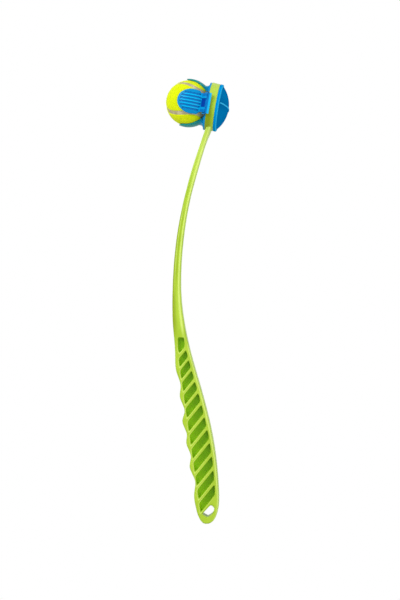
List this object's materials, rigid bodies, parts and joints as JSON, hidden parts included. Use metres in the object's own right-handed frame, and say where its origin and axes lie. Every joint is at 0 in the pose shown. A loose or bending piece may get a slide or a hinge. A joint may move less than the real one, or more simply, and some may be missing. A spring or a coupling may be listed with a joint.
{
  "type": "automatic dog ball launcher",
  "caption": "Long curved throwing stick with a ribbed grip and hanging hole, and a sprung head whose ribbed jaws and fixed arms hold a felt ball.",
  "frame": {"origin": "centre of the held ball", "axes": "+Y along the stick towards the head, +Z square to the stick's flat side, +X towards the domed back of the head"},
  "size_m": [0.0913, 0.6394, 0.078],
  "materials": {
    "handle_plastic": "satin",
    "housing_plastic": "satin",
    "dome_plastic": "satin",
    "jaw_plastic": "satin",
    "pad_plastic": "matte",
    "screw_steel": "satin",
    "pin_steel": "satin",
    "clip_steel": "satin",
    "spring_steel": "satin",
    "core_rubber": "matte",
    "felt": "matte",
    "seam_rubber": "matte"
  },
  "bodies": {
    "frame": {"handle": "handle_plastic", "front_housing": "housing_plastic", "back_cover": "dome_plastic", "cover_screws": "screw_steel", "jaw_pins": "pin_steel", "pin_clips": "clip_steel", "jaw_spring_near": "spring_steel", "jaw_spring_far": "spring_steel", "seat_spring": "spring_steel"},
    "jaw_near": {"jaw_near": "jaw_plastic"},
    "jaw_far": {"jaw_far": "jaw_plastic"},
    "ejector": {"seat_pad": "pad_plastic", "stem_clip": "clip_steel"},
    "ball": {"ball_core_a": "core_rubber", "ball_core_b": "core_rubber", "ball_felt_a": "felt", "ball_felt_b": "felt", "ball_seam": "seam_rubber"}
  },
  "joints": [
    {"name": "ball_release", "type": "slide", "parent": "frame", "child": "ball", "axis": [-0.9848, 0.1736, 0], "range_m": [0, 0.048]},
    {"name": "jaw_near_hinge", "type": "hinge", "parent": "frame", "child": "jaw_near", "pos_m": [0.02639, -0.00465, 0.0315], "axis": [0.1736, 0.9848, 0], "range_deg": [0, 13.8], "stiffness_Nm_per_rad": 0.3, "springref_deg": -5.73, "deforming": ["jaw_spring_near"]},
    {"name": "jaw_far_hinge", "type": "hinge", "parent": "frame", "child": "jaw_far", "pos_m": [0.02639, -0.00465, -0.0315], "axis": [-0.1736, -0.9848, 0], "range_deg": [0, 13.8], "stiffness_Nm_per_rad": 0.3, "springref_deg": -5.73, "deforming": ["jaw_spring_far"]},
    {"name": "seat_press", "type": "slide", "parent": "frame", "child": "ejector", "axis": [0.9848, -0.1736, 0], "range_m": [0, 0.003], "stiffness_N_per_m": 400, "springref_m": -0.004, "deforming": ["seat_spring"]}
  ],
  "couplings": [
    {"joint": "jaw_near_hinge", "follows": "ball_release", "rad_per_m": 5},
    {"joint": "jaw_far_hinge", "follows": "ball_release", "rad_per_m": 5}
  ]
}
